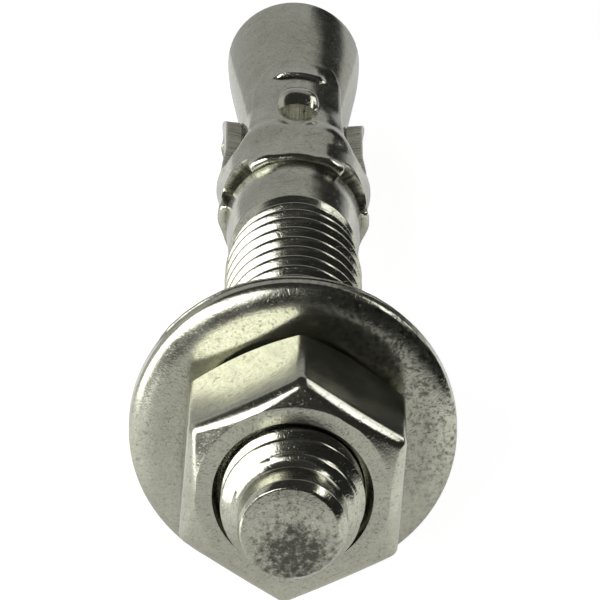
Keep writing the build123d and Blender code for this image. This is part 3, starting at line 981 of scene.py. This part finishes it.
# Light by direction. Azimuth 0 looks towards the viewer's side and grows to the right.
SKY = 0.5
PATCHES = (  # azimuth from, to, elevation from, to, softness, brightness; later ones cover earlier ones
    (-190, 190, 44, 120, 4, 0.05),  # dark ceiling
    (-144, -70, -14, 42, 6, 0.75),  # pale wall, left
    (-20, 152, -10, 48, 5, 0.03),  # dark, in front and to the right
    (-70, 70, -50, -7, 6, 0.82),  # table in front of the sheet
    (-76, -18, -20, 44, 3, 4.0),  # front left softbox
    (-42, -9, -2, 13, 3, 0.1),  # dark gap in its right side
    (-44, 12, -14, 1, 4, 0.15),  # dark edge of the table
    (-40, -11, 12, 44, 3, 6.2),  # brighter upper end of the front left softbox
    (70, 126, 34, 47, 3, 4.0),  # right softbox
    (112, 141, 6, 45, 4, 2.0),  # lower end of the right softbox
    (146, 169, -22, 20, 3, 0.03),  # dark strip, back right
    (126, 172, -26, -3, 4, 0.55),  # pale wall below the dark strip
)


def lit_world():
    """World of soft patches, which camera rays see as plain white."""
    world = bpy.data.worlds.new("studio")
    bpy.context.scene.world = world
    tree = emptied(world)
    ray = add(tree, "ShaderNodeTexCoord").outputs["Generated"]
    x, y, z = add(tree, "ShaderNodeSeparateXYZ", {0: ray}).outputs
    back = maths(tree, "MULTIPLY", y, -1.0)
    azimuth = maths(tree, "DEGREES", maths(tree, "ARCTAN2", x, back))
    elevation = maths(tree, "DEGREES", maths(tree, "ARCSINE", z))
    light = SKY
    for az0, az1, el0, el1, soft, bright in PATCHES:
        mask = ramp(tree, azimuth, az0, az0 + soft, smooth=True)
        edges = (azimuth, az1, az1 - soft), (elevation, el0, el0 + soft), (elevation, el1, el1 - soft)
        for angle, low, high in edges:
            mask = maths(tree, "MULTIPLY", mask, ramp(tree, angle, low, high, smooth=True))
        keep = maths(tree, "MULTIPLY", light, maths(tree, "SUBTRACT", 1.0, mask))
        light = maths(tree, "ADD", keep, maths(tree, "MULTIPLY", mask, bright))
    white = add(tree, "ShaderNodeLightPath").outputs["Is Camera Ray"]
    lighting = maths(tree, "MULTIPLY", light, maths(tree, "SUBTRACT", 1.0, white))
    strength = maths(tree, "ADD", lighting, white)
    shader = add(tree, "ShaderNodeBackground", {"Color": (1, 1, 1, 1), "Strength": strength})
    add(tree, "ShaderNodeOutputWorld", {"Surface": shader.outputs[0]})


# Floor, in metres: the pale sheet that the anchor lies on
FLOOR_COLOUR = (0.6, 0.6, 0.6, 1)
FLOOR_LIFT = 0.82  # light added to it, so that it shows white
FLOOR_HALF = 0.12  # from its middle to its sides
FLOOR_FRONT, FLOOR_BACK = -0.07, 0.05
FLOOR_SHADE = 0.5  # painted shadow in the floor as the steel mirrors it: share of that light left close to the anchor
SHADED_WIDTH = (0.006, 0.03)  # from the anchor's middle to where that painted shadow starts to fade and where it ends


def make_floor():
    """Matt sheet that shows white to the camera and in the steel, with a painted shadow near the anchor
    in what the steel mirrors.
    """
    front = [(-FLOOR_HALF, FLOOR_FRONT, 0), (FLOOR_HALF, FLOOR_FRONT, 0)]
    back = [(FLOOR_HALF, FLOOR_BACK, 0), (-FLOOR_HALF, FLOOR_BACK, 0)]
    mesh = bpy.data.meshes.new("floor")
    mesh.from_pydata(front + back, [], [(0, 1, 2, 3)])
    floor = bpy.data.objects.new("floor", mesh)
    bpy.context.collection.objects.link(floor)
    mat = bpy.data.materials.new("floor")
    tree = emptied(mat)
    path = add(tree, "ShaderNodeLightPath").outputs
    matt = add(tree, "ShaderNodeBsdfDiffuse", {"Color": FLOOR_COLOUR})
    across = add(tree, "ShaderNodeTexCoord").outputs["Object"]
    across = add(tree, "ShaderNodeSeparateXYZ", {0: across}).outputs[0]
    # Painted shadow: glossy rays see less of the floor's added light near the anchor; camera rays see
    # all of it
    shaded = ramp(tree, maths(tree, "ABSOLUTE", across), *SHADED_WIDTH, FLOOR_SHADE, 1.0, smooth=True)
    mirrored = maths(tree, "MULTIPLY", path["Is Glossy Ray"], shaded)
    seen = maths(tree, "MAXIMUM", path["Is Camera Ray"], mirrored)
    seen = maths(tree, "MAXIMUM", seen, path["Is Transmission Ray"])
    lift = maths(tree, "MULTIPLY", seen, FLOOR_LIFT)
    glow = add(tree, "ShaderNodeEmission", {"Color": (1, 1, 1, 1), "Strength": lift})
    both = add(tree, "ShaderNodeAddShader", {0: matt.outputs[0], 1: glow.outputs[0]})
    add(tree, "ShaderNodeOutputMaterial", {"Surface": both.outputs[0]})
    mesh.materials.append(mat)


VIEW_DOWN = math.radians(24.52)  # between the line of sight and the stud's axis
VIEW_RANGE = 517.17  # along the line of sight, to the nut's near face
VIEW_SIDE, VIEW_BELOW = -0.467, 12.692  # middle of that face from the line of sight
LENS = 480
SENSOR = 36
FAR_CLIP = 20  # metres


def make_camera():
    """Looks along the stud from the nut's end, from above."""
    up, axis, right = (Vector(v) for v in (UP, AXIS, RIGHT))
    forward = -up * math.sin(VIEW_DOWN) - axis * math.cos(VIEW_DOWN)
    down = -up * math.cos(VIEW_DOWN) + axis * math.sin(VIEW_DOWN)
    face = Vector(place((0, 0, NUT_FACE)))
    spot = face - MM * (VIEW_SIDE * right + VIEW_BELOW * down + VIEW_RANGE * forward)
    lens = bpy.data.cameras.new("camera")
    lens.lens = LENS
    lens.sensor_width = SENSOR
    lens.clip_end = FAR_CLIP
    camera = bpy.data.objects.new("camera", lens)
    bpy.context.collection.objects.link(camera)
    turn = Matrix((right, -down, -forward)).transposed().to_4x4()
    camera.matrix_world = Matrix.Translation(spot) @ turn
    bpy.context.scene.camera = camera


lit_world()
make_floor()
make_camera()
bpy.context.scene.view_settings.view_transform = "Standard"
